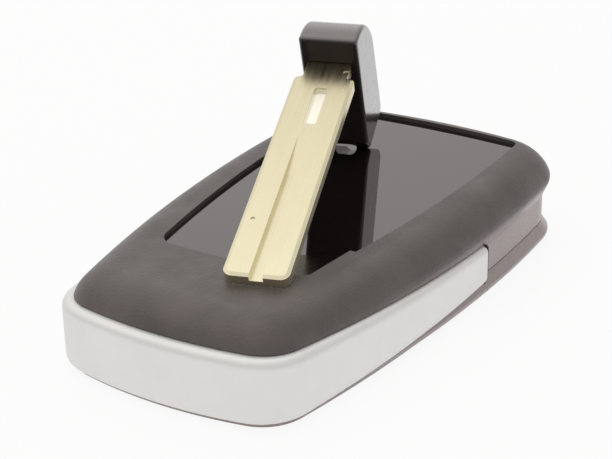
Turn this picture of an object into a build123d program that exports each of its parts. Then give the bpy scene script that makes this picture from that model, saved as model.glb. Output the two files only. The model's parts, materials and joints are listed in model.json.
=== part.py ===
from build123d import *
import os
from math import asin, atan2, cos, degrees, hypot, radians, sin, sqrt, tan

# Smart key remote. It lies on its button face, and its emergency key is taken out and
# stood on it. Millimetres: Z is up from the table, Y runs from the silver end to the
# end that takes the key, and the origin is on the table under the middle of the case.

# Case outline, seen from above
case_length = 74.5
case_width = 43.0
side_radius = 205.0
widest_from_front = 50.6
front_bulge = 2.1
far_bulge = 2.4
front_corner_radius = 6.0
far_corner_radius = 9.4

# Case section
case_height = 12.8
shoulder_radius = 5.5
base_radius = 0.8
lip_height = 1.0
lip_inset = 0.35
seam_height = 2.4
seam_gap = 0.15
waist_inset = 1.3
waist_top = 6.4
flare_angle = 23.0
flare_overrun = 0.2
crease_radius = 1.5
wall_thickness = 1.3
ceiling_thickness = 0.8
floor_height = 1.6

# Clearances
fit_gap = 0.15
slide_gap = 0.2
seat_gap = 0.3

# Glossy panel and the recess that it lies in
recess_half_width = 14.8
recess_side_radius = 211.0
recess_widest_from_front = 56.0
recess_front = 15.8
recess_far = 69.4
recess_far_bulge = 0.8
recess_corner_radius = 3.0
recess_far_corner_radius = 1.5
recess_depth = 2.0
panel_thickness = 1.4
panel_edge_radius = 0.1
panel_gap = 0.1
pry_step_end = 25.4
pry_step_depth = 0.8

# Silver trim round the front half, proud of the case in front and flush with it at its ends
trim_proud = 1.2
trim_side_inset = 0.1
trim_widest_from_front = 44.8
trim_seat = 1.75
trim_top_gap = 0.1
trim_end_gap = 0.3
trim_end = 46.0
trim_top_front = 9.7
trim_top_end = 7.3
trim_bottom_front = 0.4
trim_bottom_end = 1.8
trim_edge_radius = 1.2
trim_end_top_radius = 0.8
trim_end_bottom_radius = 1.2

# Emergency key, measured along the blade from its tip
blade_length = 38.95
blade_width = 8.35
blade_thickness = 1.5
blade_tip_radius = 1.2
blade_root_radius = 1.0
blade_bevel_width = 0.45
blade_bevel_depth = 0.25
neck_width = 6.1
tang_length = 5.0
tang_gap = 0.1
groove_offset = 0.12
groove_width = 1.75
long_groove_run = 19.3
long_groove_end = 26.3
long_groove_depth = 0.85
short_groove_start = 28.75
short_groove_end = 36.3
short_groove_depth = 0.55
neck_mark_x = 2.75
neck_mark_y = 39.9
neck_mark_radius = 0.45
blade_mark_x = -2.7
blade_mark_y = 9.9
blade_mark_radius = 0.3
mark_depth = 0.15
head_start = 41.6
head_width = 8.2
head_top = 5.5
head_crown_radius = 8.5
head_back = 50.4
head_reach = 52.9
knee_drop = 15.0
knee_radius = 1.5
foot_reach = 44.5
foot_drop = 15.6
toe_reach = 42.9
toe_drop = 13.5
toe_radius = 1.5
head_edge_radius = 0.6
notch_width = 3.0
notch_height = 1.1
notch_radius = 0.8
notch_offset = 0.5
pin_radius = 0.75
pin_length = 6.0
pin_inset = 2.6
pin_bevel = 0.15
pin_gap = 0.1

# Where the key stands
key_tip_x = 6.9
key_tip_from_front = 11.3
key_heading = 17.75
rest_gap = 0.08

# Where the key is kept
channel_wall = 1.65
stored_level = 5.85
head_clearance = 0.4
divider_thickness = 1.0
end_clearance = 1.0
slant_clearance = 1.0

# Buttons
button_width = 19.0
button_length = 10.5
button_pitch = 12.5
button_radius = 2.5
button_edge_radius = 0.3
button_first = 18.5
button_count = 3
button_travel = 0.4
button_gap = 0.25
button_face = 0.3
flange_overlap = 0.8
flange_thickness = 0.5
plunger_radius = 1.5
plunger_height = 0.2
field_depth = 0.5
field_margin = 1.6
field_radius = 3.6

# Electronics
board_thickness = 0.8
board_hole_radius = 0.6
board_hole_inset = 4.0
tongue_thickness = 0.8
seal_width = 0.6
seal_height = 0.8
pad_thickness = 0.6
pad_skirt = 0.6
switch_width = 4.5
switch_length = 3.5
switch_corner_radius = 0.4
switch_body = 0.4
switch_height = 0.7
switch_cap_radius = 1.0
led_from_front = 7.4
led_width = 1.6
led_length = 0.8
led_height = 0.6
led_window_radius = 1.0
led_flange = 0.6
part_gap = 1.4
chip_bevel = 0.15
chip_spacing = 6.0
controller_size = 6.0
controller_height = 0.9
controller_x = 4.5
radio_size = 4.0
radio_height = 0.8
radio_x = -5.5
crystal_width = 3.2
crystal_length = 2.5
crystal_height = 0.7
crystal_corner_radius = 0.4
transponder_length = 6.0
transponder_height = 2.4
transponder_edge_radius = 0.6
transponder_from_front = 12.5
coil_size = 10.6
coil_winding_size = 9.4
coil_corner_radius = 2.0
coil_flange_height = 0.5
coil_winding_height = 1.4
coil_from_front = 16.0
coil_margin = 1.8
battery_radius = 10.0
battery_height = 2.5
battery_top_edge = 0.4
battery_bottom_edge = 0.25
battery_x = 3.2
battery_clearance = 0.35
battery_lip = 1.6
battery_lip_thickness = 0.5
well_wall = 0.9
deck_gap = 0.2
deck_thickness = 0.6
contact_width = 4.0
contact_thickness = 0.25
contact_reach = 3.5
contact_tail = 2.5
contact_foot = 2.0

# Release latch
latch_offset = 2.1
latch_inset = 0.9
latch_length = 7.3
latch_depth = 3.7
latch_height = 4.6
latch_travel = 1.4
nose_entry = 0.5
nose_depth = 1.6
nose_height = 1.9
nose_bevel = 0.7
knob_inset = 1.7
knob_length = 5.4
knob_height = 3.3
knob_stand = 1.1
knob_corner_radius = 0.6
knob_edge_radius = 0.3
grip_count = 3
grip_pitch = 1.2
grip_width = 0.5
grip_depth = 0.3
rib_inset = 1.0
spring_length = 3.1
spring_radius = 1.0
spring_wire = 0.15
spring_turns = 4

# Levels and places that follow from the sizes above
recess_floor = case_height - recess_depth
panel_top = recess_floor + panel_thickness
ceiling_height = recess_floor - ceiling_thickness
plunger_top = floor_height + fit_gap + flange_thickness + plunger_height
pad_low = plunger_top + button_travel + seat_gap
board_level = pad_low + pad_thickness + switch_height
board_top = board_level + board_thickness
cavity_inset = waist_inset + wall_thickness
key_foot_span = hypot(foot_reach, foot_drop)
foot_drop_angle = asin((case_height + rest_gap - panel_top) / key_foot_span)
key_pitch = degrees(atan2(foot_drop, foot_reach) - foot_drop_angle)
stored_tip = case_length - head_reach
pocket_front = stored_tip + head_start - head_clearance
pocket_low = stored_level - head_width / 2 - fit_gap
pocket_high = stored_level + head_width / 2 + fit_gap
channel_low = stored_level - blade_width / 2 - fit_gap
channel_high = stored_level + blade_width / 2 + fit_gap
channel_width = blade_thickness + 2 * slide_gap
latch_from_front = stored_tip + foot_reach + latch_inset
latch_room_front = latch_from_front - latch_depth / 2 - seat_gap
bay_end = min(pocket_front, latch_room_front) - divider_thickness - slide_gap
field_length = button_length + (button_count - 1) * button_pitch + 2 * field_margin
button_middle = button_first + (button_count - 1) * button_pitch / 2
well_radius = battery_radius + battery_clearance
battery_from_front = bay_end - seat_gap - 2 * well_wall - well_radius
chips_from_front = (coil_from_front + coil_size / 2 + battery_from_front - well_radius - well_wall) / 2


def from_front(distance):
    """Y of a place this far behind the foremost point of the two covers."""
    return distance - (case_length - trim_proud) / 2


def bowed(distance, half_width, radius, widest):
    """Half width of a bowed side at a distance behind the foremost point."""
    return half_width - radius + sqrt(radius**2 - (distance - widest) ** 2)


def case_side(distance):
    """Half width of the case at a distance behind the foremost point."""
    return bowed(distance, case_width / 2, side_radius, widest_from_front)


def arc_radius(half_chord, bulge):
    """Radius of an arc that stands a bulge proud of its chord."""
    return (half_chord**2 + bulge**2) / (2 * bulge)


# The channel for the blade follows the left wall, and the pocket, the bay and the latch follow it
channel_left = waist_inset + channel_wall - case_side(stored_tip - end_clearance)
channel_right = channel_left + channel_width
blade_side = channel_right - slide_gap
foot_side = blade_side + foot_drop
pocket_right = foot_side + head_clearance
bay_left = channel_right + divider_thickness
latch_start = foot_side + latch_offset
latch_room_end = latch_start + latch_length + spring_length + slide_gap


def bowed_sides(half_width, radius, widest, inset):
    """Lens between two bowed sides, moved inwards by an inset."""
    with BuildSketch() as lens:
        with Locations((half_width - radius, from_front(widest))):
            Circle(radius - inset)
        with Locations((radius - half_width, from_front(widest))):
            Circle(radius - inset, mode=Mode.INTERSECT)
    return lens.sketch


def case_outline(height, inset=0.0):
    """Outline of the case at a height, moved inwards all round by an inset."""
    front_radius = arc_radius(case_side(front_bulge), front_bulge)
    far_radius = arc_radius(case_side(case_length - far_bulge), far_bulge)
    with BuildSketch(Plane.XY.offset(height)) as outline:
        add(bowed_sides(case_width / 2, side_radius, widest_from_front, inset))
        with Locations((0, from_front(front_radius))):
            Circle(front_radius - inset, mode=Mode.INTERSECT)
        with Locations((0, from_front(case_length - far_radius))):
            Circle(far_radius - inset, mode=Mode.INTERSECT)
        fillet(outline.vertices().group_by(Axis.Y)[0], front_corner_radius - inset)
        fillet(outline.vertices().group_by(Axis.Y)[-1], far_corner_radius - inset)
    return outline.sketch


def recess_side(distance):
    """Half width of the recess at a distance behind the foremost point."""
    return bowed(distance, recess_half_width, recess_side_radius, recess_widest_from_front)


def recess_outline(height, inset=0.0):
    """Outline of the panel recess, with the step that its right edge has near the front."""
    far_radius = arc_radius(recess_side(recess_far), recess_far_bulge)
    step_x = recess_side(pry_step_end) - pry_step_depth - inset
    beyond = step_x + case_width / 2
    front_y = from_front(recess_front) + inset
    with BuildSketch(Plane.XY.offset(height)) as outline:
        add(bowed_sides(recess_half_width, recess_side_radius, recess_widest_from_front, inset))
        with Locations((0, from_front(recess_far - far_radius))):
            Circle(far_radius - inset, mode=Mode.INTERSECT)
        with Locations((0, front_y)):
            Rectangle(case_width, case_length, align=(Align.CENTER, Align.MIN), mode=Mode.INTERSECT)
        fillet(outline.vertices().group_by(Axis.Y)[0], recess_corner_radius - inset)
        fillet(outline.vertices().group_by(Axis.Y)[-1], recess_far_corner_radius - inset)
        with BuildLine():
            Polyline(
                (recess_side(recess_front) - inset - pry_step_depth / 4, front_y - 1),
                (step_x, from_front(pry_step_end) + inset),
                (beyond, from_front(pry_step_end) + inset),
                (beyond, front_y - 1),
                close=True,
            )
        make_face(mode=Mode.SUBTRACT)
    return outline.sketch


def bay_outline(height, inset=0.0):
    """Room for the electronics, right of the blade's channel and in front of the key's pocket."""
    with BuildSketch(Plane.XY.offset(height)) as bay:
        add(case_outline(0, cavity_inset + inset))
        with Locations((bay_left + inset, from_front(bay_end) - inset)):
            Rectangle(case_width, case_length, align=(Align.MIN, Align.MAX), mode=Mode.INTERSECT)
    return bay.sketch


def bay_ring(height, outer_inset, thickness):
    """Closed band that follows the wall of the electronics bay."""
    with BuildSketch(Plane.XY.offset(height)) as ring:
        add(bay_outline(0, outer_inset))
        add(bay_outline(0, outer_inset + thickness), mode=Mode.SUBTRACT)
    return ring.sketch


def pocket_outline(height):
    """Plan of the pocket for the key's head, open at the far end and at the left side."""
    outside = case_width
    behind = case_length
    slant_end = from_front(stored_tip + foot_reach - head_clearance - slant_clearance)
    with BuildSketch(Plane.XY.offset(height)) as pocket:
        with BuildLine():
            Polyline(
                (-outside, from_front(pocket_front)),
                (blade_side + slant_clearance, from_front(pocket_front)),
                (pocket_right, slant_end),
                (pocket_right, behind),
                (-outside, behind),
                close=True,
            )
        make_face()
    return pocket.sketch


def channel_outline(height):
    """Plan of the channel that the blade slides into."""
    channel_start = from_front(stored_tip - end_clearance)
    channel_length = from_front(pocket_front) + seat_gap - channel_start
    with BuildSketch(Plane.XY.offset(height)) as channel:
        with Locations((channel_left, channel_start)):
            Rectangle(channel_width, channel_length, align=(Align.MIN, Align.MIN))
    return channel.sketch


def trim_outline(height, inset=0.0):
    """Outline that the trim's outer face follows, moved inwards by an inset."""
    front_radius = arc_radius(case_side(front_bulge), front_bulge)
    with BuildSketch(Plane.XY.offset(height)) as outline:
        add(bowed_sides(case_width / 2 - trim_side_inset, side_radius, trim_widest_from_front, inset))
        with Locations((0, from_front(front_radius - trim_proud))):
            Circle(front_radius - inset, mode=Mode.INTERSECT)
        fillet(outline.vertices().group_by(Axis.Y)[0], front_corner_radius + trim_proud - inset)
    return outline.sketch


def trim_side(gap=0.0, end_gap=0.0):
    """Side view of the trim, grown by a gap above and below and by another at its end."""
    ahead = from_front(-case_height / 2)
    with BuildSketch(Plane.YZ) as side:
        with BuildLine():
            Polyline(
                (ahead, trim_bottom_front - gap),
                (from_front(trim_end) + end_gap, trim_bottom_end - gap),
                (from_front(trim_end) + end_gap, trim_top_end + gap),
                (ahead, trim_top_front + gap),
                close=True,
            )
        make_face()
        fillet(side.vertices().group_by(Axis.X)[-1].sort_by(Axis.Y)[0], trim_end_bottom_radius)
        fillet(side.vertices().group_by(Axis.X)[-1].sort_by(Axis.Y)[-1], trim_end_top_radius)
    return side.sketch


# Room that the trim takes up in both covers
with BuildPart() as trim_groove:
    extrude(case_outline(0, -trim_proud), amount=case_height)
    extrude(trim_side(trim_top_gap, trim_end_gap), amount=case_width, both=True, mode=Mode.INTERSECT)
    extrude(case_outline(0, trim_seat + fit_gap), amount=case_height, mode=Mode.SUBTRACT)

# The waist and the flare above it, taller than the cover that is cut to them
flare_top = waist_top + (waist_inset + flare_overrun) / tan(radians(flare_angle))
with BuildPart() as flared_core:
    extrude(case_outline(0, waist_inset), amount=waist_top)
    loft([case_outline(waist_top, waist_inset), case_outline(flare_top, -flare_overrun)], ruled=True)
    extrude(case_outline(flare_top, -flare_overrun), amount=case_height)

# Back cover: the upper shell, with the panel recess, the key's pocket and its channel
cover_low = seam_height + seam_gap
latch_y = from_front(latch_from_front)
latch_back = latch_y + latch_depth / 2
latch_level = stored_level + notch_offset
latch_low = latch_level - latch_height / 2
with BuildPart() as back_cover:
    extrude(case_outline(cover_low), amount=case_height - cover_low)
    fillet(back_cover.faces().sort_by(Axis.Z)[-1].edges(), shoulder_radius)
    add(flared_core.part, mode=Mode.INTERSECT)
    creases = back_cover.edges().filter_by_position(Axis.Z, waist_top + waist_inset, flare_top)
    fillet(creases, crease_radius)
    add(trim_groove.part, mode=Mode.SUBTRACT)
    extrude(recess_outline(recess_floor), amount=case_height, mode=Mode.SUBTRACT)
    extrude(bay_outline(cover_low), amount=ceiling_height - cover_low, mode=Mode.SUBTRACT)
    extrude(channel_outline(cover_low), amount=channel_high - cover_low, mode=Mode.SUBTRACT)
    extrude(pocket_outline(0), amount=pocket_high, mode=Mode.SUBTRACT)
    # Room for the latch, open below, with a slot for its nose and a window for its knob
    with BuildSketch(Plane.XY.offset(cover_low)):
        with Locations((latch_start - seat_gap, latch_y)):
            Rectangle(
                latch_room_end - latch_start + seat_gap,
                latch_depth + 2 * seat_gap,
                align=(Align.MIN, Align.CENTER),
            )
    extrude(amount=latch_low + latch_height + seat_gap - cover_low, mode=Mode.SUBTRACT)
    with BuildSketch(Plane.YZ.offset(foot_side)):
        with Locations((latch_y, latch_level)):
            Rectangle(nose_depth + 2 * seat_gap, nose_height + 2 * seat_gap)
    extrude(amount=latch_start - foot_side, mode=Mode.SUBTRACT)
    with BuildSketch(Plane.XZ.offset(-latch_y)):
        with Locations((latch_start + knob_inset - seat_gap, latch_level)):
            Rectangle(
                knob_length + latch_travel + 2 * seat_gap,
                knob_height + 2 * seat_gap,
                align=(Align.MIN, Align.CENTER),
            )
    extrude(amount=-case_length, mode=Mode.SUBTRACT)

back_cover.part.label = "back_cover"

# Glossy panel in its recess
with BuildPart() as back_panel:
    extrude(recess_outline(recess_floor, panel_gap), amount=panel_thickness)
    fillet(back_panel.faces().sort_by(Axis.Z)[-1].edges(), panel_edge_radius)

back_panel.part.label = "back_panel"

# Silver trim: a band round the front half of the case
with BuildPart() as trim_band:
    extrude(trim_outline(0), amount=case_height)
    extrude(trim_side(), amount=case_width, both=True, mode=Mode.INTERSECT)
    upper = trim_band.faces().filter_by(lambda face: face.normal_at().Z > 0.9)
    # The rounding runs on round the ends and back along the lower edge
    fillet(upper.edges().filter_by(GeomType.LINE, reverse=True), trim_edge_radius)
    extrude(case_outline(0, trim_seat), amount=case_height, mode=Mode.SUBTRACT)

trim_band.part.label = "trim_band"

# Front cover: the shell with the buttons, which the remote lies on
button_places = [(0, from_front(button_first + i * button_pitch)) for i in range(button_count)]
led_place = (0, from_front(led_from_front))
with BuildPart() as front_cover:
    extrude(case_outline(0, lip_inset), amount=lip_height)
    fillet(front_cover.faces().sort_by(Axis.Z)[0].edges(), base_radius)
    loft([case_outline(lip_height, lip_inset), case_outline(seam_height, waist_inset)], ruled=True)
    add(trim_groove.part, mode=Mode.SUBTRACT)
    extrude(bay_outline(floor_height), amount=case_height, mode=Mode.SUBTRACT)
    extrude(channel_outline(channel_low), amount=case_height, mode=Mode.SUBTRACT)
    extrude(pocket_outline(pocket_low), amount=case_height, mode=Mode.SUBTRACT)
    with BuildSketch(Plane.XY):
        with Locations((0, from_front(button_middle))):
            RectangleRounded(button_width + 2 * field_margin, field_length, field_radius)
    extrude(amount=field_depth, mode=Mode.SUBTRACT)
    with BuildSketch(Plane.XY):
        with Locations(*button_places):
            RectangleRounded(
                button_width + 2 * button_gap,
                button_length + 2 * button_gap,
                button_radius + button_gap,
            )
        with Locations(led_place):
            Circle(led_window_radius + fit_gap)
    extrude(amount=seam_height, mode=Mode.SUBTRACT)
    # Tongue that stands inside the back cover and carries the circuit board
    extrude(bay_ring(floor_height, fit_gap, tongue_thickness), amount=board_level - floor_height)
    # Rib under the latch
    with BuildSketch(Plane.XY.offset(lip_height)):
        with Locations((latch_start + rib_inset, latch_y)):
            Rectangle(latch_length, latch_depth - rib_inset, align=(Align.MIN, Align.CENTER))
    extrude(amount=latch_low - fit_gap - lip_height)

front_cover.part.label = "front_cover"

# Buttons, each a cap with a flange that keeps it in and a plunger
button_names = ["lock_button", "unlock_button", "boot_button"]
buttons = []
for place in button_places:
    with BuildPart() as button:
        with BuildSketch(Plane.XY.offset(button_face)):
            with Locations(place):
                RectangleRounded(button_width, button_length, button_radius)
        extrude(amount=floor_height + fit_gap - button_face)
        fillet(button.faces().sort_by(Axis.Z)[0].edges(), button_edge_radius)
        with BuildSketch(Plane.XY.offset(floor_height + fit_gap)):
            with Locations(place):
                RectangleRounded(
                    button_width + 2 * flange_overlap,
                    button_length + 2 * flange_overlap,
                    button_radius + flange_overlap,
                )
        extrude(amount=flange_thickness)
        with BuildSketch(Plane.XY.offset(floor_height + fit_gap + flange_thickness)):
            with Locations(place):
                Circle(plunger_radius)
        extrude(amount=plunger_height)
    buttons.append(button)

for name, button in zip(button_names, buttons):
    button.part.label = name

# Rubber pad between the buttons and the switches, on a skirt round the flanges
pad_width = button_width + 2 * (flange_overlap + seat_gap + pad_skirt)
pad_length = field_length - 2 * field_margin + 2 * (flange_overlap + seat_gap + pad_skirt)
with BuildPart() as button_pad:
    with BuildSketch(Plane.XY.offset(floor_height)):
        with Locations((0, from_front(button_middle))):
            RectangleRounded(pad_width, pad_length, button_radius + flange_overlap + pad_skirt)
    extrude(amount=pad_low + pad_thickness - floor_height)
    with BuildSketch(Plane.XY.offset(floor_height)):
        with Locations((0, from_front(button_middle))):
            RectangleRounded(
                pad_width - 2 * pad_skirt,
                pad_length - 2 * pad_skirt,
                button_radius + flange_overlap,
            )
    extrude(amount=pad_low - floor_height, mode=Mode.SUBTRACT)

button_pad.part.label = "button_pad"

# Switches under the board, one over each button
switch_names = ["lock_switch", "unlock_switch", "boot_switch"]
switches = []
for place in button_places:
    with BuildPart() as switch:
        with BuildSketch(Plane.XY.offset(board_level)):
            with Locations(place):
                RectangleRounded(switch_width, switch_length, switch_corner_radius)
        extrude(amount=-switch_body)
        with BuildSketch(Plane.XY.offset(board_level - switch_body)):
            with Locations(place):
                Circle(switch_cap_radius)
        extrude(amount=switch_body - switch_height)
    switches.append(switch)

for name, switch in zip(switch_names, switches):
    switch.part.label = name

# Light guide in the front cover and the lamp above it
with BuildPart() as led_window:
    with BuildSketch(Plane.XY.offset(button_face)):
        with Locations(led_place):
            Circle(led_window_radius)
    extrude(amount=board_level - led_height - fit_gap - button_face)
    with BuildSketch(Plane.XY.offset(floor_height)):
        with Locations(led_place):
            Circle(led_window_radius + led_flange)
    extrude(amount=flange_thickness)

led_window.part.label = "led_window"

with BuildPart() as status_led:
    with BuildSketch(Plane.XY.offset(board_level)):
        with Locations(led_place):
            Rectangle(led_width, led_length)
    extrude(amount=-led_height)

status_led.part.label = "status_led"

# Circuit board and the parts on its upper side
chips_y = from_front(chips_from_front)
right_hole_x = case_side(battery_from_front) - cavity_inset - board_hole_inset
with BuildPart() as circuit_board:
    extrude(bay_outline(board_level, seat_gap), amount=board_thickness)
    with Locations(
        (bay_left + board_hole_inset, from_front(bay_end) - board_hole_inset, board_top),
        (right_hole_x, chips_y, board_top),
    ):
        Hole(board_hole_radius)

circuit_board.part.label = "circuit_board"

with BuildPart() as controller_chip:
    with BuildSketch(Plane.XY.offset(board_top)):
        with Locations((controller_x, chips_y)):
            Rectangle(controller_size, controller_size)
    extrude(amount=controller_height)
    chamfer(controller_chip.faces().sort_by(Axis.Z)[-1].edges(), chip_bevel)

controller_chip.part.label = "controller_chip"

with BuildPart() as radio_chip:
    with BuildSketch(Plane.XY.offset(board_top)):
        with Locations((radio_x, chips_y - chip_spacing)):
            Rectangle(radio_size, radio_size)
    extrude(amount=radio_height)
    chamfer(radio_chip.faces().sort_by(Axis.Z)[-1].edges(), chip_bevel)

radio_chip.part.label = "radio_chip"

with BuildPart() as crystal:
    with BuildSketch(Plane.XY.offset(board_top)):
        with Locations((radio_x, chips_y)):
            RectangleRounded(crystal_width, crystal_length, crystal_corner_radius)
    extrude(amount=crystal_height)

crystal.part.label = "crystal"

# Antenna: a winding on a spool near the right wall
coil_reach = case_side(coil_from_front - coil_size / 2) - cavity_inset - seat_gap - coil_margin
coil_place = (coil_reach - coil_size / 2, from_front(coil_from_front))
winding_low = board_top + coil_flange_height
with BuildPart() as antenna_coil:
    for level in [board_top, winding_low + coil_winding_height]:
        with BuildSketch(Plane.XY.offset(level)):
            with Locations(coil_place):
                RectangleRounded(coil_size, coil_size, coil_corner_radius)
        extrude(amount=coil_flange_height)
    with BuildSketch(Plane.XY.offset(winding_low)):
        with Locations(coil_place):
            RectangleRounded(coil_winding_size, coil_winding_size, coil_corner_radius)
    extrude(amount=coil_winding_height)

antenna_coil.part.label = "antenna_coil"

# Transponder in the room that is left beside the antenna
transponder_left = bay_left + seat_gap + 2 * well_wall
transponder_right = coil_reach - coil_size - part_gap
with BuildPart() as transponder:
    with BuildSketch(Plane.XY.offset(board_top)):
        with Locations((transponder_left, from_front(transponder_from_front))):
            Rectangle(
                transponder_right - transponder_left,
                transponder_length,
                align=(Align.MIN, Align.CENTER),
            )
    extrude(amount=transponder_height)
    fillet(transponder.edges().filter_by(Axis.X), transponder_edge_radius)

transponder.part.label = "transponder"

# Battery, its two contacts and the inner case that holds it
battery_place = (battery_x, from_front(battery_from_front))
lip_level = board_top + contact_thickness
battery_low = lip_level + battery_lip_thickness
contact_x = battery_x - battery_radius - fit_gap
with BuildPart() as battery:
    with BuildSketch(Plane.XY.offset(battery_low)):
        with Locations(battery_place):
            Circle(battery_radius)
    extrude(amount=battery_height)
    fillet(battery.faces().sort_by(Axis.Z)[-1].edges(), battery_top_edge)
    fillet(battery.faces().sort_by(Axis.Z)[0].edges(), battery_bottom_edge)

battery.part.label = "battery"

leaf_level = board_top + contact_thickness / 2
with BuildPart() as battery_contact_minus:
    with BuildSketch(Plane.XZ.offset(-from_front(battery_from_front))):
        with BuildLine():
            leaf = Polyline(
                (battery_x - contact_reach - contact_tail, leaf_level),
                (battery_x - contact_reach, leaf_level),
                (battery_x, battery_low - contact_thickness),
                (battery_x + contact_reach, leaf_level),
            )
            offset(leaf, amount=contact_thickness / 2, kind=Kind.INTERSECTION, side=Side.BOTH)
        make_face()
    extrude(amount=contact_width / 2, both=True)

battery_contact_minus.part.label = "battery_contact_minus"

contact_top = battery_low + battery_height - battery_top_edge
with BuildPart() as battery_contact_plus:
    with BuildSketch(Plane.XZ.offset(-from_front(battery_from_front))):
        with BuildLine():
            Polyline(
                (contact_x, board_top),
                (contact_x, contact_top),
                (contact_x - contact_thickness, contact_top),
                (contact_x - contact_thickness, board_top + contact_thickness),
                (contact_x - contact_foot, board_top + contact_thickness),
                (contact_x - contact_foot, board_top),
                close=True,
            )
        make_face()
    extrude(amount=contact_width / 2, both=True)

battery_contact_plus.part.label = "battery_contact_plus"

inner_case_top = ceiling_height - deck_gap
with BuildPart() as inner_case:
    extrude(bay_ring(board_top, seat_gap, well_wall), amount=inner_case_top - board_top)
    extrude(bay_outline(inner_case_top - deck_thickness, seat_gap), amount=deck_thickness)
    with BuildSketch(Plane.XY.offset(lip_level)):
        with Locations(battery_place):
            Circle(well_radius + well_wall)
    extrude(amount=inner_case_top - lip_level)
    with BuildSketch(Plane.XY.offset(board_top)):
        with Locations(battery_place):
            Circle(well_radius - battery_lip)
    extrude(amount=case_height, mode=Mode.SUBTRACT)
    with BuildSketch(Plane.XY.offset(battery_low)):
        with Locations(battery_place):
            Circle(well_radius)
    extrude(amount=case_height, mode=Mode.SUBTRACT)
    # Way for the rising contact through the wall of the well
    with BuildSketch(Plane.XY.offset(board_top)):
        with Locations((battery_x - battery_radius, from_front(battery_from_front))):
            Rectangle(
                contact_foot + 2 * seat_gap,
                contact_width + 2 * seat_gap,
                align=(Align.MAX, Align.CENTER),
            )
    extrude(amount=battery_low + battery_height - board_top, mode=Mode.SUBTRACT)
    extrude(bay_outline(0, seat_gap), amount=case_height, mode=Mode.INTERSECT)

inner_case.part.label = "inner_case"

# Rubber seal on the floor of the front cover, inside the tongue
with BuildPart() as case_seal:
    extrude(bay_ring(floor_height, 2 * fit_gap + tongue_thickness, seal_width), amount=seal_height)

case_seal.part.label = "case_seal"

# Release latch: a slide with a nose for the key's head and a ribbed knob in the window
nose_x = foot_side - nose_entry
knob_start = latch_start + knob_inset
knob_middle = knob_start + knob_length / 2
outline_y = case_outline(0).bounding_box().max.Y - far_bulge * (2 * knob_middle / case_width) ** 2
knob_back = outline_y - waist_inset + knob_stand
with BuildPart() as release_latch:
    with BuildSketch(Plane.XY.offset(latch_low)):
        with Locations((latch_start, latch_y)):
            Rectangle(latch_length, latch_depth, align=(Align.MIN, Align.CENTER))
    extrude(amount=latch_height)
    with BuildSketch(Plane.YZ.offset(nose_x)):
        with Locations((latch_y, latch_level)):
            Rectangle(nose_depth, nose_height)
    extrude(amount=latch_start - nose_x)
    nose_tip = release_latch.edges().group_by(Axis.X)[0].filter_by(Axis.Z).sort_by(Axis.Y)[-1]
    chamfer(nose_tip, nose_bevel)
    with BuildSketch(Plane.XZ.offset(-latch_back)):
        with Locations((knob_middle, latch_level)):
            RectangleRounded(knob_length, knob_height, knob_corner_radius)
    extrude(amount=latch_back - knob_back)
    fillet(release_latch.faces().sort_by(Axis.Y)[-1].edges(), knob_edge_radius)
    with BuildSketch(Plane.XY.offset(latch_low)):
        with Locations((knob_middle, knob_back)):
            with GridLocations(grip_pitch, 0, grip_count, 1):
                Rectangle(grip_width, 2 * grip_depth)
    extrude(amount=latch_height, mode=Mode.SUBTRACT)

release_latch.part.label = "release_latch"

# Return spring of the latch
coil_start = latch_start + latch_length + spring_wire
coil_length = spring_length - 2 * spring_wire
with BuildPart() as latch_spring:
    with BuildLine() as coil:
        Helix(
            pitch=coil_length / spring_turns,
            height=coil_length,
            radius=spring_radius,
            center=(coil_start, latch_y, stored_level),
            direction=(1, 0, 0),
        )
    with BuildSketch(Plane(origin=coil.line @ 0, z_dir=coil.line % 0)):
        Circle(spring_wire)
    sweep(is_frenet=True)

latch_spring.part.label = "latch_spring"

# Frame of the emergency key as it stands: X across the blade, Y from its tip to its head
heading = radians(key_heading)
pitch = radians(key_pitch)
key_plane = Plane(
    origin=(key_tip_x, from_front(key_tip_from_front), case_height + rest_gap),
    x_dir=(cos(heading), sin(heading), 0),
    z_dir=(sin(heading) * sin(pitch), -cos(heading) * sin(pitch), cos(pitch)),
)
side_plane = Plane(origin=key_plane.origin, x_dir=key_plane.y_dir, z_dir=key_plane.x_dir)

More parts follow.
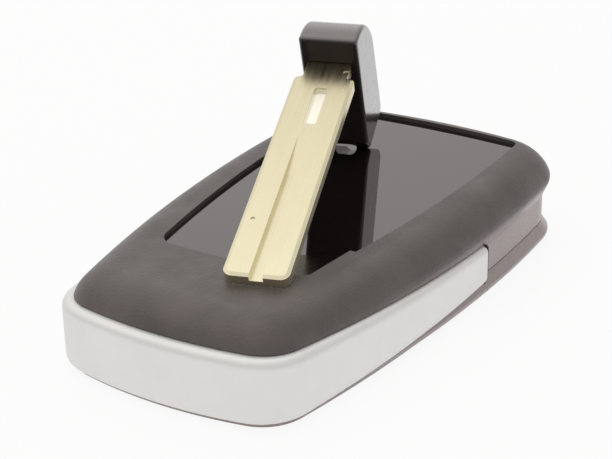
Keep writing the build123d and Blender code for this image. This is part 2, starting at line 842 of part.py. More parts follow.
# Blade with bevelled upper edges and milled grooves, and with the neck and the tang behind it
blade_top = key_plane.offset(blade_thickness)
with BuildPart() as key_blade:
    with BuildSketch(key_plane) as blade_shape:
        Rectangle(blade_width, blade_length, align=(Align.CENTER, Align.MIN))
        fillet(blade_shape.vertices().group_by(Axis.Y)[0], blade_tip_radius)
        fillet(blade_shape.vertices().group_by(Axis.Y)[-1], blade_root_radius)
    extrude(amount=blade_thickness)
    face_on_top = key_blade.faces().sort_by(Axis(key_plane.origin, key_plane.z_dir))[-1]
    chamfer(face_on_top.edges(), blade_bevel_width, blade_bevel_depth, reference=face_on_top)
    with BuildSketch(key_plane):
        with Locations((0, blade_length / 2)):
            Rectangle(
                neck_width,
                head_start + tang_length - blade_length / 2,
                align=(Align.CENTER, Align.MIN),
            )
    extrude(amount=blade_thickness)
    with BuildSketch(side_plane.offset(groove_offset)):
        with BuildLine():
            Polyline(
                (-blade_thickness, blade_thickness),
                (-blade_thickness, blade_thickness - long_groove_depth),
                (long_groove_run, blade_thickness - long_groove_depth),
                (long_groove_end, blade_thickness),
                close=True,
            )
        make_face()
    extrude(amount=groove_width / 2, both=True, mode=Mode.SUBTRACT)
    with BuildSketch(blade_top):
        with Locations((groove_offset, (short_groove_start + short_groove_end) / 2)):
            RectangleRounded(groove_width, short_groove_end - short_groove_start, groove_width / 4)
    extrude(amount=-short_groove_depth, mode=Mode.SUBTRACT)
    with BuildSketch(blade_top):
        with Locations((neck_mark_x, neck_mark_y)):
            Circle(neck_mark_radius)
        with Locations((blade_mark_x, blade_mark_y)):
            Circle(blade_mark_radius)
    extrude(amount=-mark_depth, mode=Mode.SUBTRACT)
    with Locations(side_plane.location * Location((head_start + pin_inset, 0, 0))):
        Hole(pin_radius + pin_gap)

key_blade.part.label = "key_blade"

# Head: a hook-shaped grip with a socket for the tang and a notch for the latch in its foot
with BuildPart() as key_head:
    with BuildSketch(side_plane) as head_shape:
        with BuildLine():
            Polyline(
                (head_start, head_top),
                (head_back, head_top),
                (head_reach, -knee_drop),
                (foot_reach, -foot_drop),
                (toe_reach, -toe_drop),
                close=True,
            )
        make_face()
        fillet(head_shape.vertices().sort_by_distance((head_back, head_top))[0], head_crown_radius)
        fillet(head_shape.vertices().sort_by_distance((head_reach, -knee_drop))[0], knee_radius)
        fillet(head_shape.vertices().sort_by_distance((toe_reach, -toe_drop))[0], toe_radius)
    extrude(amount=head_width / 2, both=True)
    cheeks = key_head.faces().filter_by(Axis(key_plane.origin, key_plane.x_dir))
    brow = key_head.edges().sort_by_distance(key_plane.from_local_coords((0, head_start, head_top)))[0]
    fillet(cheeks.edges() + [brow], head_edge_radius)
    with BuildSketch(key_plane.offset(-tang_gap)):
        Rectangle(
            neck_width + 2 * tang_gap,
            head_start + tang_length + tang_gap,
            align=(Align.CENTER, Align.MIN),
        )
    extrude(amount=blade_thickness + 2 * tang_gap, mode=Mode.SUBTRACT)
    with BuildSketch(Plane(origin=key_plane.origin, x_dir=key_plane.x_dir, z_dir=-key_plane.y_dir)):
        with Locations((notch_offset, -foot_drop)):
            RectangleRounded(notch_width, 2 * notch_height, notch_radius)
    extrude(amount=-2 * head_reach, mode=Mode.SUBTRACT)
    with BuildSketch(side_plane.offset(-head_width / 2)):
        with Locations((head_start + pin_inset, 0)):
            Circle(pin_radius + pin_gap)
    extrude(amount=pin_length + pin_gap, mode=Mode.SUBTRACT)

key_head.part.label = "key_head"

# Pin that holds the tang in the head, half sunk in a groove in the tang's lower face
with BuildPart() as key_pin:
    with BuildSketch(side_plane.offset(-head_width / 2)):
        with Locations((head_start + pin_inset, 0)):
            Circle(pin_radius)
    extrude(amount=pin_length)
    chamfer(key_pin.edges().filter_by(GeomType.CIRCLE), pin_bevel)

key_pin.part.label = "key_pin"

os.makedirs("parts", exist_ok=True)
export_step(back_cover.part, "parts/back_cover.step")
export_step(back_panel.part, "parts/back_panel.step")
export_step(trim_band.part, "parts/trim_band.step")
export_step(front_cover.part, "parts/front_cover.step")
for name, button in zip(button_names, buttons):
    export_step(button.part, f"parts/{name}.step")
export_step(button_pad.part, "parts/button_pad.step")
for name, switch in zip(switch_names, switches):
    export_step(switch.part, f"parts/{name}.step")
export_step(led_window.part, "parts/led_window.step")
export_step(status_led.part, "parts/status_led.step")
export_step(circuit_board.part, "parts/circuit_board.step")
export_step(controller_chip.part, "parts/controller_chip.step")
export_step(radio_chip.part, "parts/radio_chip.step")
export_step(crystal.part, "parts/crystal.step")
export_step(transponder.part, "parts/transponder.step")
export_step(antenna_coil.part, "parts/antenna_coil.step")
export_step(battery.part, "parts/battery.step")
export_step(battery_contact_minus.part, "parts/battery_contact_minus.step")
export_step(battery_contact_plus.part, "parts/battery_contact_plus.step")
export_step(inner_case.part, "parts/inner_case.step")
export_step(case_seal.part, "parts/case_seal.step")
export_step(release_latch.part, "parts/release_latch.step")
export_step(latch_spring.part, "parts/latch_spring.step")
export_step(key_blade.part, "parts/key_blade.step")
export_step(key_head.part, "parts/key_head.step")
export_step(key_pin.part, "parts/key_pin.step")
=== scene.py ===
import json
from math import asin, atan2, cos, pi, radians, sin, sqrt
import bmesh
import bpy
from mathutils import Matrix, Vector


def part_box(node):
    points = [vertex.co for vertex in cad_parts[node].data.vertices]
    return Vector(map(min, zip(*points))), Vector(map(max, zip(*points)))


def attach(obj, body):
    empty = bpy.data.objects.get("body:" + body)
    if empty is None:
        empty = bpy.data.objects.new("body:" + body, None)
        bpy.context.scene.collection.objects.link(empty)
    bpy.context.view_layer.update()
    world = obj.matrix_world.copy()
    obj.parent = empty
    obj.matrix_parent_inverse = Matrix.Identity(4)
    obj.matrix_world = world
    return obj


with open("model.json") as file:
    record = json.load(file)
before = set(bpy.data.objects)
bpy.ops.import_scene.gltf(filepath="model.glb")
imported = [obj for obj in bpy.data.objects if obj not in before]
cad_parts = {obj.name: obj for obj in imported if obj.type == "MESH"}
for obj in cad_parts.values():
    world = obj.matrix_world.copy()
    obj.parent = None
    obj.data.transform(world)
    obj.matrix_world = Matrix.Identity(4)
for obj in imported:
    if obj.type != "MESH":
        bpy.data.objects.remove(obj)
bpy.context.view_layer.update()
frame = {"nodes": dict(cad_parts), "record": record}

MM = 0.001

# Camera, measured from the middle of the case on the table, with its lens and sensor in millimetres
# and the near and far ends of its view in metres
CAMERA_PLACE = Vector((108.27, -174.80, 103.57)) * MM
CAMERA_AZIMUTH = radians(32.195)
CAMERA_ELEVATION = radians(24.818)
CAMERA_ROLL = radians(-1.007)
CAMERA_LENS = 99.09
SENSOR_WIDTH = 36.0
CAMERA_NEAR = 0.01
CAMERA_FAR = 5

# The places along the key between which the blade's tone darkens from the tip to painted shade at
# the neck, and the blade's short recess, which carries a painted highlight, as middle and reach
# along each axis of the key, in millimetres
BLADE_TIP = -20
BLADE_NECK = 22
RECESS_ACROSS = (-1.04, 1.0)
RECESS_ALONG = (11.7, 4.0)
RECESS_LEVEL = (21.5, 0.3)

# Rounded lower edge of the front cover along its sides, in millimetres
EDGE_HALF_WIDTH = 21.15
EDGE_WIDEST = 14.2
EDGE_SIDE_RADIUS = 188.0
EDGE_ROUNDING = 0.8

# Sides of the key's head: the one that looks down on the blade, and the upper one, which is given
# painted light
HEAD_FRONT = (0.29, -0.9, -0.32)
HEAD_LIT_TOP = (0.1, -0.3, 0.95)

# Outer edge of the silver trim in plan, and the ends and lower edge of its side view, in millimetres
TRIM_FRONT = -37.85
TRIM_FRONT_RADIUS = 59.7
TRIM_CORNER_RADIUS = 7.2
TRIM_HALF_WIDTH = 21.4
TRIM_SIDE_RADIUS = 205.0
TRIM_WIDEST = 8.15
TRIM_END = 9.35
TRIM_END_TOP = 7.27
TRIM_END_BOTTOM = 1.8
TRIM_TOP_RADIUS = 0.8
TRIM_BOTTOM_RADIUS = 1.2
TRIM_BOTTOM_FRONT = 0.54
TRIM_BOTTOM_RISE = 1.4
TRIM_BOTTOM_RUN = 52.4

# The surroundings are brightest towards this direction, and fall off with the turn away from it
BRIGHT_SIDE = (-0.5, 0.25, 0.8)
BRIGHT_FROM = 0.78
DIM_UNTIL = 0.52
BRIGHT = 1.0
DIM = 0.68
WARM_WHITE = (1, 0.985, 0.97, 1)
WHITE = (1, 1, 1, 1)

# The floor, in metres. It lies a hair under the covers, and this share of it looks plain white
FLOOR_HALF = 3.0
FLOOR_LEVEL = -0.00003
FLOOR_WHITE_SHARE = 0.88

# Soft lamp above the case, in metres and watts
LAMP_PLACE = (-0.1, -0.05, 1.0)
LAMP_SIZE = 1.6
LAMP_POWER = 1.2

# The leather grain of the shell fades out between these levels, in millimetres, and below them a
# paler painted reflection takes over
GRAIN_LOW = 7.0
GRAIN_HIGH = 9.0

# Edges of the added pieces that turn by more than this stay sharp
SHARP_ANGLE = radians(35)

# How the key stands, for marks that run along its blade
KEY_TURN = (radians(18.5), 0, radians(17.75))


def make_camera():
    """Camera at the photograph's place, angle and lens."""
    data = bpy.data.cameras.new("photo_camera")
    data.sensor_width = SENSOR_WIDTH
    data.lens = CAMERA_LENS
    data.clip_start = CAMERA_NEAR
    data.clip_end = CAMERA_FAR
    camera = bpy.data.objects.new("photo_camera", data)
    bpy.context.scene.collection.objects.link(camera)
    turn = Matrix.Rotation(CAMERA_AZIMUTH, 4, "Z")
    turn = turn @ Matrix.Rotation(radians(90) - CAMERA_ELEVATION, 4, "X")
    turn = turn @ Matrix.Rotation(CAMERA_ROLL, 4, "Z")
    camera.matrix_world = Matrix.Translation(CAMERA_PLACE) @ turn
    bpy.context.scene.camera = camera


class Material:
    """A principled material, with helpers for its procedural detail that take millimetres."""

    def __init__(self, name, color, roughness, metallic=0.0, **sockets):
        self.material = bpy.data.materials.new(name)
        self.material.use_nodes = True
        self.tree = self.material.node_tree
        self.tree.nodes.clear()
        self.shader = self.add("ShaderNodeBsdfPrincipled")
        self.shader.inputs["Base Color"].default_value = (*color, 1)
        self.shader.inputs["Roughness"].default_value = roughness
        self.shader.inputs["Metallic"].default_value = metallic
        for socket, value in sockets.items():
            self.shader.inputs[socket.replace("_", " ")].default_value = value
        self.output = self.add("ShaderNodeOutputMaterial")
        self.link(self.shader.outputs["BSDF"], self.output.inputs["Surface"])
        self.place = self.add("ShaderNodeTexCoord").outputs["Object"]

    def add(self, kind, **values):
        """New node with its settings."""
        node = self.tree.nodes.new(kind)
        for key, value in values.items():
            setattr(node, key, value)
        return node

    def link(self, a, b):
        """Joins an output to an input."""
        self.tree.links.new(a, b)

    def mapped(self, sizes, turn=(0, 0, 0)):
        """Turned object coordinates in which one unit is a size in millimetres."""
        mapping = self.add("ShaderNodeMapping", vector_type="TEXTURE")
        mapping.inputs["Rotation"].default_value = turn
        mapping.inputs["Scale"].default_value = [size * MM for size in sizes]
        self.link(self.place, mapping.inputs["Vector"])
        return mapping.outputs["Vector"]

    def noise(self, size, detail=2.0, long=None, turn=(0, 0, 0)):
        """Noise with spots of a size, or with streaks of a length along the turned Y axis."""
        node = self.add("ShaderNodeTexNoise")
        node.inputs["Scale"].default_value = 1
        node.inputs["Detail"].default_value = detail
        self.link(self.mapped((size, long or size, size), turn), node.inputs["Vector"])
        return node.outputs["Fac"]

    def wrinkles(self, size, bend=0.35):
        """Irregular cells with valleys between them, as in moulded leather grain."""
        valley = 0.3
        warp = self.add("ShaderNodeTexNoise")
        warp.inputs["Scale"].default_value = 1
        warp.inputs["Detail"].default_value = 1
        place = self.mapped((size, size, size))
        self.link(place, warp.inputs["Vector"])
        shift = self.add("ShaderNodeMix", data_type="VECTOR")
        shift.inputs["Factor"].default_value = bend
        self.link(place, shift.inputs["A"])
        self.link(warp.outputs["Color"], shift.inputs["B"])
        node = self.add("ShaderNodeTexVoronoi", feature="DISTANCE_TO_EDGE")
        node.inputs["Scale"].default_value = 1 / (1 - bend)
        self.link(shift.outputs["Result"], node.inputs["Vector"])
        return self.spread(node.outputs["Distance"], 0, 1, 0, valley)

    def spread(self, value, low, high, from_low=0.3, from_high=0.7):
        """A value brought to a range, by default from the range that most of a noise fills."""
        node = self.add("ShaderNodeMapRange")
        node.inputs["From Min"].default_value = from_low
        node.inputs["From Max"].default_value = from_high
        node.inputs["To Min"].default_value = low
        node.inputs["To Max"].default_value = high
        self.link(value, node.inputs["Value"])
        return node.outputs["Result"]

    def above(self, low, high):
        """Zero below a level in millimetres and one above another."""
        split = self.add("ShaderNodeSeparateXYZ")
        self.link(self.place, split.inputs["Vector"])
        return self.spread(split.outputs["Z"], 0, 1, low * MM, high * MM)

    def times(self, a, b):
        """One number times another."""
        node = self.add("ShaderNodeMath", operation="MULTIPLY")
        self.link(a, node.inputs[0])
        self.link(b, node.inputs[1])
        return node.outputs["Value"]

    def facing(self, direction, away, towards, away_until=0.6, towards_from=0.9):
        """A number for faces turned away from a direction, and another for those turned to it."""
        where = self.add("ShaderNodeNewGeometry")
        turn = self.add("ShaderNodeVectorMath", operation="DOT_PRODUCT")
        turn.inputs[1].default_value = direction
        self.link(where.outputs["Normal"], turn.inputs[0])
        return self.spread(turn.outputs["Value"], away, towards, away_until, towards_from)

    def key_place(self, axis):
        """Place along an axis of the key, which stands askew, in metres."""
        mapping = self.add("ShaderNodeMapping", vector_type="TEXTURE")
        mapping.inputs["Rotation"].default_value = KEY_TURN
        self.link(self.place, mapping.inputs["Vector"])
        split = self.add("ShaderNodeSeparateXYZ")
        self.link(mapping.outputs["Vector"], split.inputs["Vector"])
        return split.outputs[axis]

    def near(self, value, middle, reach):
        """One where a value is near a middle in millimetres and zero elsewhere."""
        node = self.add("ShaderNodeMath", operation="COMPARE")
        node.inputs[1].default_value = middle * MM
        node.inputs[2].default_value = reach * MM
        self.link(value, node.inputs[0])
        return node.outputs["Value"]

    def patch(self, share, color):
        """Another tone over part of the base colour that is there."""
        node = self.add("ShaderNodeMix", data_type="RGBA")
        node.inputs["B"].default_value = (*color, 1)
        self.link(share, node.inputs["Factor"])
        self.link(self.shader.inputs["Base Color"].links[0].from_socket, node.inputs["A"])
        self.link(node.outputs["Result"], self.shader.inputs["Base Color"])

    def less(self, a, b):
        """One number less another."""
        node = self.add("ShaderNodeMath", operation="SUBTRACT")
        self.link(a, node.inputs[0])
        self.link(b, node.inputs[1])
        return node.outputs["Value"]

    def blend(self, share, first, second):
        """A number that runs between two others."""
        node = self.add("ShaderNodeMix", data_type="FLOAT")
        self.link(share, node.inputs["Factor"])
        self.link(first, node.inputs["A"])
        self.link(second, node.inputs["B"])
        return node.outputs["Result"]

    def tint(self, value, first, second):
        """Base colour that runs between two tones."""
        node = self.add("ShaderNodeMix", data_type="RGBA")
        node.inputs["A"].default_value = (*first, 1)
        node.inputs["B"].default_value = (*second, 1)
        self.link(value, node.inputs["Factor"])
        self.link(node.outputs["Result"], self.shader.inputs["Base Color"])

    def polish(self, value, low, high):
        """Roughness that runs between two values."""
        self.link(self.spread(value, low, high), self.shader.inputs["Roughness"])

    def bump(self, height, depth, strength=1.0):
        """Relief of a depth in millimetres, on top of any before it."""
        node = self.add("ShaderNodeBump")
        node.inputs["Strength"].default_value = strength
        node.inputs["Distance"].default_value = depth * MM
        self.link(height, node.inputs["Height"])
        before = self.shader.inputs["Normal"]
        if before.is_linked:
            self.link(before.links[0].from_socket, node.inputs["Normal"])
        self.link(node.outputs["Normal"], self.shader.inputs["Normal"])


def shell_material():
    """Dark warm grey plastic with a leather grain above, smoother below, where its paler tone is a
    painted reflection of the floor.
    """
    upper = (0.054, 0.043, 0.039)
    # The paler lower tone is a painted reflection of the white floor on the lower shell
    lower_painted_reflection = (0.34, 0.285, 0.28)
    made = Material("shell_plastic", upper, 0.4, Specular_IOR_Level=0.85,
                    Specular_Tint=(1, 0.94, 0.92, 1))
    grain_above_painted_reflection = made.above(GRAIN_LOW, GRAIN_HIGH)
    patches = made.spread(made.noise(7, 3), 0.0, 0.15)
    made.tint(made.less(grain_above_painted_reflection, patches), lower_painted_reflection, upper)
    smooth = made.spread(made.noise(1.5, 4), 0.24, 0.3)
    rough = made.spread(made.noise(1.5, 4), 0.38, 0.46)
    made.link(made.blend(grain_above_painted_reflection, smooth, rough), made.shader.inputs["Roughness"])
    made.bump(made.times(made.wrinkles(0.62), grain_above_painted_reflection), 0.03, 0.8)
    made.bump(made.times(made.noise(0.2, 3), grain_above_painted_reflection), 0.008, 0.4)
    return made.material


def panel_material():
    """Polished black panel."""
    made = Material("panel_gloss", (0.008, 0.006, 0.006), 0.03, IOR=2.15,
                    Specular_Tint=(1, 0.93, 0.91, 1))
    made.polish(made.noise(9, 3), 0.018, 0.035)
    made.bump(made.noise(9, 1), 0.006, 0.1)
    return made.material


def trim_material():
    """Satin silver coating with a very fine metallic flake."""
    made = Material("trim_silver", (0.79, 0.79, 0.78), 0.42, 0.75)
    made.tint(made.spread(made.noise(9, 2), 0, 1), (0.79, 0.785, 0.77), (0.82, 0.815, 0.8))
    made.polish(made.noise(1.1, 4), 0.46, 0.52)
    made.bump(made.noise(0.15, 2), 0.002, 0.35)
    return made.material


def blade_material():
    """Pale brass, milled along the blade and lightly polished, with painted shade towards the neck
    and a painted highlight on the short recess.
    """
    tip = (0.8, 0.745, 0.53)
    # The darker neck tone is painted shade, where the head shades the blade and darkens its
    # reflection
    neck_painted_shade = (0.67, 0.6, 0.41)
    dull = (0.6, 0.52, 0.32)
    recess_painted_highlight = (0.93, 0.9, 0.78)
    made = Material("blade_brass", tip, 0.28, 1.0)
    made.tint(made.spread(made.key_place("Y"), 0, 1, BLADE_TIP * MM, BLADE_NECK * MM), tip, neck_painted_shade)
    made.patch(made.spread(made.noise(5, 3), 0, 0.12), dull)
    # The pale tone on the short recess is a painted highlight
    recess_highlight_place = made.times(made.near(made.key_place("X"), *RECESS_ACROSS),
                        made.near(made.key_place("Y"), *RECESS_ALONG))
    made.patch(made.times(recess_highlight_place, made.near(made.key_place("Z"), *RECESS_LEVEL)), recess_painted_highlight)
    made.polish(made.noise(0.5, 4, 12, KEY_TURN), 0.24, 0.33)
    made.bump(made.noise(0.22, 2, 9, KEY_TURN), 0.0004, 0.3)
    made.bump(made.noise(1.8, 2), 0.004, 0.25)
    return made.material


def head_material():
    """Dark brown plastic with a glossy skin, which is duller at the front, with painted light that
    makes it paler on top.
    """
    dark = (0.018, 0.013, 0.012)
    light = (0.025, 0.019, 0.017)
    # The paler top tone is painted light on the faces turned upwards
    top = (0.1, 0.083, 0.078)
    made = Material("head_plastic", dark, 0.25, IOR=1.35, Coat_IOR=1.8, Coat_Roughness=0.14)
    made.tint(made.spread(made.noise(5, 3), 0, 1), dark, light)
    made.patch(made.facing(HEAD_LIT_TOP, 0.0, 1.0), top)
    made.polish(made.noise(1.0, 4), 0.22, 0.32)
    made.link(made.facing(HEAD_FRONT, 1.0, 0.12), made.shader.inputs["Coat Weight"])
    made.link(made.facing(HEAD_FRONT, 0.5, 0.15), made.shader.inputs["Specular IOR Level"])
    made.bump(made.noise(1.6, 2), 0.003, 0.25)
    return made.material


def moulded(name, color, roughness):
    """Fine textured plastic, rubber, resin or lacquer for the pieces inside and below."""
    change = 0.15
    made = Material(name, color, roughness)
    dark = [share * (1 - change) for share in color]
    light = [min(1, share * (1 + change)) for share in color]
    made.tint(made.spread(made.noise(3, 3), 0, 1), dark, light)
    made.bump(made.noise(0.15, 2), 0.008, 0.5)
    return made.material


def drawn_metal(name, color, roughness):
    """Rolled or drawn steel for the pieces inside."""
    change = 0.08
    made = Material(name, color, roughness, 1.0)
    made.polish(made.noise(0.5, 4, 5), roughness - change, roughness + change)
    made.bump(made.noise(0.2, 2, 3), 0.004, 0.4)
    return made.material


def finish_nodes():
    """Gives every CAD node the material of its slot, and returns the materials by slot."""
    by_slot = {
        "shell": shell_material(),
        "panel": panel_material(),
        "trim": trim_material(),
        "blade": blade_material(),
        "head": head_material(),
        "buttons": moulded("button_plastic", (0.05, 0.045, 0.042), 0.45),
        "rubber": moulded("rubber_black", (0.04, 0.04, 0.04), 0.7),
        "switch_metal": drawn_metal("switch_steel", (0.6, 0.6, 0.6), 0.35),
        "light_guide": moulded("guide_red", (0.6, 0.12, 0.09), 0.12),
        "lamp": moulded("lamp_resin", (0.8, 0.77, 0.62), 0.3),
        "board": moulded("board_green", (0.02, 0.15, 0.06), 0.35),
        "chip": moulded("chip_black", (0.03, 0.03, 0.03), 0.5),
        "can": drawn_metal("can_steel", (0.7, 0.7, 0.7), 0.25),
        "winding": moulded("winding_copper", (0.32, 0.12, 0.05), 0.4),
        "cell": drawn_metal("cell_steel", (0.66, 0.66, 0.65), 0.3),
        "contact": drawn_metal("contact_steel", (0.62, 0.6, 0.52), 0.3),
        "inner_plastic": moulded("inner_black", (0.045, 0.045, 0.048), 0.5),
        "spring_wire": drawn_metal("wire_steel", (0.55, 0.55, 0.56), 0.3),
        "pin": drawn_metal("pin_steel", (0.6, 0.6, 0.6), 0.3),
    }
    for part in frame["record"]["subparts"]:
        node = frame["nodes"][part["node"]]
        node.data.materials.clear()
        node.data.materials.append(by_slot[part["material_slot"]])
    return by_slot


def new_piece(name, shape):
    """Object made of a finished shape, with its faces turned outwards."""
    bmesh.ops.recalc_face_normals(shape, faces=shape.faces)
    mesh = bpy.data.meshes.new(name)
    shape.to_mesh(mesh)
    shape.free()
    piece = bpy.data.objects.new(name, mesh)
    bpy.context.scene.collection.objects.link(piece)
    return piece


def dress(piece, material, body):
    """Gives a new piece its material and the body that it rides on."""
    piece.data.materials.append(material)
    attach(piece, body)


def solid_band(name, sections):
    """Smooth band with a loop of corners at each section, in millimetres, closed at its ends."""
    shape = bmesh.new()
    loops = [[shape.verts.new(Vector(corner) * MM) for corner in section] for section in sections]
    count = len(loops[0])
    for first, second in zip(loops, loops[1:]):
        for i in range(count):
            j = (i + 1) % count
            shape.faces.new((first[i], first[j], second[j], second[i]))
    shape.faces.new(loops[0])
    shape.faces.new(list(reversed(loops[-1])))
    piece = new_piece(name, shape)
    for face in piece.data.polygons:
        face.use_smooth = True
    piece.data.set_sharp_from_angle(angle=SHARP_ANGLE)
    return piece


def arc(center, radius, start, end, count):
    """Points on an arc between two angles."""
    step = (end - start) / (count - 1)
    return [(center[0] + radius * cos(start + i * step), center[1] + radius * sin(start + i * step))
            for i in range(count)]


def trim_plan(inset):
    """Plan of the trim's outer face on the right, from the middle of the front to its end."""
    front_points = 14
    corner_points = 18
    side_points = 24
    front = Vector((0, TRIM_FRONT + TRIM_FRONT_RADIUS))
    side = Vector((TRIM_HALF_WIDTH - TRIM_SIDE_RADIUS, TRIM_WIDEST))
    to_front = TRIM_FRONT_RADIUS - TRIM_CORNER_RADIUS
    to_side = TRIM_SIDE_RADIUS - TRIM_CORNER_RADIUS
    gap = side - front
    along = (to_front**2 - to_side**2 + gap.length_squared) / (2 * gap.length)
    across = sqrt(to_front**2 - along**2)
    unit = gap.normalized()
    corner = front + unit * along + Vector((-unit.y, unit.x)) * across
    front_angle = atan2(corner.y - front.y, corner.x - front.x)
    side_angle = atan2(corner.y - side.y, corner.x - side.x)
    end_angle = asin((TRIM_END - side.y) / (TRIM_SIDE_RADIUS - inset))
    plan = arc(front, TRIM_FRONT_RADIUS - inset, -pi / 2, front_angle, front_points)
    plan += arc(corner, TRIM_CORNER_RADIUS - inset, front_angle, side_angle, corner_points)[1:]
    plan += arc(side, TRIM_SIDE_RADIUS - inset, side_angle, end_angle, side_points)[1:]
    return plan


def cover_rim(material):
    """Rim of the front cover, a thin dark line under the trim."""
    face_inset = 1.15
    inner_inset = 2.2
    gap = 0.12
    foot = 0.06
    low_corner = 0.1
    high_corner = 0.06
    corner_back = 0.05
    corner_narrowing = 0.997
    rise = TRIM_BOTTOM_RISE / TRIM_BOTTOM_RUN
    half = []
    for (x, y), (inner_x, inner_y) in zip(trim_plan(face_inset), trim_plan(inner_inset)):
        top = TRIM_BOTTOM_FRONT + (y - TRIM_FRONT) * rise - gap
        corner = (x * corner_narrowing, y + corner_back)
        half.append([(x, y, foot + low_corner), (x, y, top - high_corner), (*corner, top),
                     (inner_x, inner_y, top), (inner_x, inner_y, foot), (*corner, foot)])
    left = [[(-x, y, z) for x, y, z in section] for section in reversed(half[1:])]
    dress(solid_band("cover_rim", left + half), material, "case")


def cover_edges(material):
    """Smooth lower edges for the sides of the front cover, laid a hair over its coarser mesh."""
    heights = (0.0, 0.03, 0.08, 0.15, 0.25, 0.38, 0.55, 0.8, 1.0)
    proud = 0.015
    deep = 1.2
    hidden_low = 0.3
    first = 9.3
    last = 26.2
    steps = 24
    for side, name in ((-1, "cover_edge_left"), (1, "cover_edge_right")):
        sections = []
        for i in range(steps + 1):
            y = first + (last - first) * i / steps
            wide = EDGE_HALF_WIDTH - (y - EDGE_WIDEST)**2 / (2 * EDGE_SIDE_RADIUS)
            section = []
            for z in heights:
                below = max(EDGE_ROUNDING - z, 0)
                back = EDGE_ROUNDING - sqrt(EDGE_ROUNDING**2 - below**2)
                section.append((side * (wide + proud - back), y, z))
            inner = side * (wide - deep)
            section += [(inner, y, heights[-1]), (inner, y, hidden_low)]
            sections.append(section)
        dress(solid_band(name, sections), material, "case")


def trim_end_shadow_strips(material):
    """Black strips in the gap between the trim's ends and the covers, painted shade that stands in
    for the shadow of that gap.
    """
    near = 0.05
    far = 0.27
    inner_x = 20.0
    near_x = 20.95
    far_x = 20.9
    turn = radians(65)
    top_points = 8
    bottom_points = 10
    top_center = (TRIM_END - TRIM_TOP_RADIUS, TRIM_END_TOP - TRIM_TOP_RADIUS)
    bottom_center = (TRIM_END - TRIM_BOTTOM_RADIUS, TRIM_END_BOTTOM + TRIM_BOTTOM_RADIUS)
    loops = []
    for grown in (near, far):
        line = arc(top_center, TRIM_TOP_RADIUS + grown, turn, 0, top_points)
        line += arc(bottom_center, TRIM_BOTTOM_RADIUS + grown, 0, -turn, bottom_points)
        loops.append(line)
    for side, name in ((-1, "trim_gap_shadow_left"), (1, "trim_gap_shadow_right")):
        sections = []
        for near_place, far_place in zip(*loops):
            sections.append([(side * inner_x, *near_place), (side * near_x, *near_place),
                             (side * far_x, *far_place), (side * inner_x, *far_place)])
        dress(solid_band(name, sections), material, "case")


def plate(name, outlines, place, low, high):
    """Flat sign made of outlines round a place, in millimetres, each filled on its own."""
    shape = bmesh.new()
    for outline in outlines:
        line = [(place[0] + x, place[1] + y) for x, y in outline]
        bottom = [shape.verts.new(Vector((x, y, low)) * MM) for x, y in line]
        top = [shape.verts.new(Vector((x, y, high)) * MM) for x, y in line]
        count = len(outline)
        for i in range(count):
            j = (i + 1) % count
            shape.faces.new((bottom[i], bottom[j], top[j], top[i]))
        ends = [shape.faces.new(bottom), shape.faces.new(top)]
        bmesh.ops.triangulate(shape, faces=ends)
    return new_piece(name, shape)


def rounded_box(x, y, width, height, radius):
    """Rounded rectangle round a centre."""
    corner_points = 6
    line = []
    for i, (sx, sy) in enumerate([(1, 1), (-1, 1), (-1, -1), (1, -1)]):
        center = (x + sx * (width / 2 - radius), y + sy * (height / 2 - radius))
        line += arc(center, radius, i * pi / 2, (i + 1) * pi / 2, corner_points)
    return line


def shackle(x, y, radius, wire, leg, short_leg):
    """Bow of a padlock, with one leg that may be shorter."""
    bow_points = 14
    outer = arc((x, y), radius, 0, pi, bow_points)
    inner = arc((x, y), radius - wire, pi, 0, bow_points)
    return ([(x + radius, y - leg)] + outer + [(x - radius, y - short_leg)]
            + [(x - radius + wire, y - short_leg)] + inner + [(x + radius - wire, y - leg)])


def button_signs(material):
    """Plain padlock and car signs on the three buttons, upright when the key's end is up."""
    sunk = 0.04
    raised = 0.02
    lock_body = rounded_box(x=0, y=-0.9, width=3.4, height=2.6, radius=0.4)
    closed_bow = shackle(x=0, y=0.9, radius=1.15, wire=0.4, leg=0.6, short_leg=0.6)
    open_bow = shackle(x=-1.6, y=1.2, radius=1.15, wire=0.4, leg=0.95, short_leg=0.0)
    car_body = [(-3.2, -0.9), (3.2, -0.9), (3.2, 0.3), (2.2, 0.6), (1.2, 1.4), (-1.2, 1.4),
                (-2.0, 0.5), (-3.2, 0.3)]
    open_lid = [(-1.5, 1.7), (-1.25, 1.95), (-3.3, 2.6), (-3.45, 2.25)]
    wheel_x = 1.8
    wheel_y = -1.0
    wheel_radius = 0.75
    wheel_points = 16
    turn = 2 * pi * (wheel_points - 1) / wheel_points
    wheels = [arc((x, wheel_y), wheel_radius, 0, turn, wheel_points) for x in (-wheel_x, wheel_x)]
    signs = {
        "lock": [lock_body, closed_bow],
        "unlock": [lock_body, open_bow],
        "boot": [car_body, open_lid] + wheels,
    }
    for name, outlines in signs.items():
        low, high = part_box(name + "_button")
        place = ((low[0] + high[0]) / 2 / MM, (low[1] + high[1]) / 2 / MM)
        face = low[2] / MM
        flipped = [[(-x, y) for x, y in outline] for outline in outlines]
        sign = plate(name + "_sign", flipped, place, face - sunk, face + raised)
        dress(sign, material, name + "_button")


def seen_rays(tree):
    """One for the rays of the camera, of gloss and of glass, and otherwise zero."""
    rays = tree.nodes.new("ShaderNodeLightPath")
    last = rays.outputs["Is Camera Ray"]
    for name in ("Is Glossy Ray", "Is Transmission Ray"):
        larger = tree.nodes.new("ShaderNodeMath")
        larger.operation = "MAXIMUM"
        tree.links.new(last, larger.inputs[0])
        tree.links.new(rays.outputs[name], larger.inputs[1])
        last = larger.outputs["Value"]
    return last


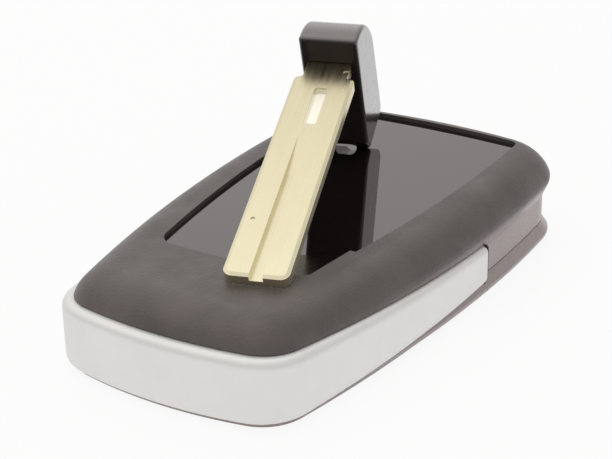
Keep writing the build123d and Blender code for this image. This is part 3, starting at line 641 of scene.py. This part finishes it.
def make_floor():
    """Pale floor that looks white and keeps part of the shadow."""
    mesh = bpy.data.meshes.new("floor")
    turns = ((-1, -1), (1, -1), (1, 1), (-1, 1))
    corners = [(x * FLOOR_HALF, y * FLOOR_HALF, FLOOR_LEVEL) for x, y in turns]
    mesh.from_pydata(corners, [], [(0, 1, 2, 3)])
    floor = bpy.data.objects.new("floor", mesh)
    bpy.context.scene.collection.objects.link(floor)
    made = Material("floor_white", (0.93, 0.93, 0.93), 0.35)
    glow = made.add("ShaderNodeEmission")
    glow.inputs["Strength"].default_value = 1.0
    share = made.add("ShaderNodeMath", operation="MULTIPLY")
    share.inputs[1].default_value = FLOOR_WHITE_SHARE
    made.link(seen_rays(made.tree), share.inputs[0])
    mix = made.add("ShaderNodeMixShader")
    made.link(share.outputs["Value"], mix.inputs["Fac"])
    made.link(made.shader.outputs["BSDF"], mix.inputs[1])
    made.link(glow.outputs["Emission"], mix.inputs[2])
    made.link(mix.outputs["Shader"], made.output.inputs["Surface"])
    mesh.materials.append(made.material)


def make_world():
    """White background, and a soft warm white light that falls off away from its bright side."""
    world = bpy.data.worlds.new("studio")
    world.use_nodes = True
    bpy.context.scene.world = world
    tree = world.node_tree
    tree.nodes.clear()
    output = tree.nodes.new("ShaderNodeOutputWorld")
    light = tree.nodes.new("ShaderNodeBackground")
    light.inputs["Color"].default_value = WARM_WHITE
    place = tree.nodes.new("ShaderNodeTexCoord")
    along = tree.nodes.new("ShaderNodeVectorMath")
    along.operation = "DOT_PRODUCT"
    along.inputs[1].default_value = BRIGHT_SIDE
    fall = tree.nodes.new("ShaderNodeMapRange")
    fall.interpolation_type = "SMOOTHSTEP"
    fall.inputs["From Min"].default_value = DIM_UNTIL
    fall.inputs["From Max"].default_value = BRIGHT_FROM
    fall.inputs["To Min"].default_value = DIM
    fall.inputs["To Max"].default_value = BRIGHT
    tree.links.new(place.outputs["Generated"], along.inputs[0])
    tree.links.new(along.outputs["Value"], fall.inputs["Value"])
    tree.links.new(fall.outputs["Result"], light.inputs["Strength"])
    seen = tree.nodes.new("ShaderNodeBackground")
    seen.inputs["Color"].default_value = WHITE
    seen.inputs["Strength"].default_value = 1.0
    mix = tree.nodes.new("ShaderNodeMixShader")
    rays = tree.nodes.new("ShaderNodeLightPath")
    tree.links.new(rays.outputs["Is Camera Ray"], mix.inputs["Fac"])
    tree.links.new(light.outputs["Background"], mix.inputs[1])
    tree.links.new(seen.outputs["Background"], mix.inputs[2])
    tree.links.new(mix.outputs["Shader"], output.inputs["Surface"])


def make_lamp(name, place, aim, size, power):
    """Soft square lamp that looks at a point."""
    data = bpy.data.lights.new(name, "AREA")
    data.size = size
    data.energy = power
    lamp = bpy.data.objects.new(name, data)
    bpy.context.scene.collection.objects.link(lamp)
    direction = Vector(aim) - Vector(place)
    lamp.rotation_mode = "QUATERNION"
    lamp.rotation_quaternion = direction.to_track_quat("-Z", "Y")
    lamp.location = place


make_camera()
finishes = finish_nodes()
cover_rim(finishes["shell"])
cover_edges(finishes["shell"])
# Black strips at the trim's ends are painted shade of the gap there
trim_end_shadow_strips(finishes["rubber"])
button_signs(moulded("sign_paint", (0.62, 0.62, 0.6), 0.5))
make_floor()
make_world()
make_lamp("key_lamp", LAMP_PLACE, (0, 0, 0), LAMP_SIZE, LAMP_POWER)
bpy.context.scene.view_settings.view_transform = "Standard"
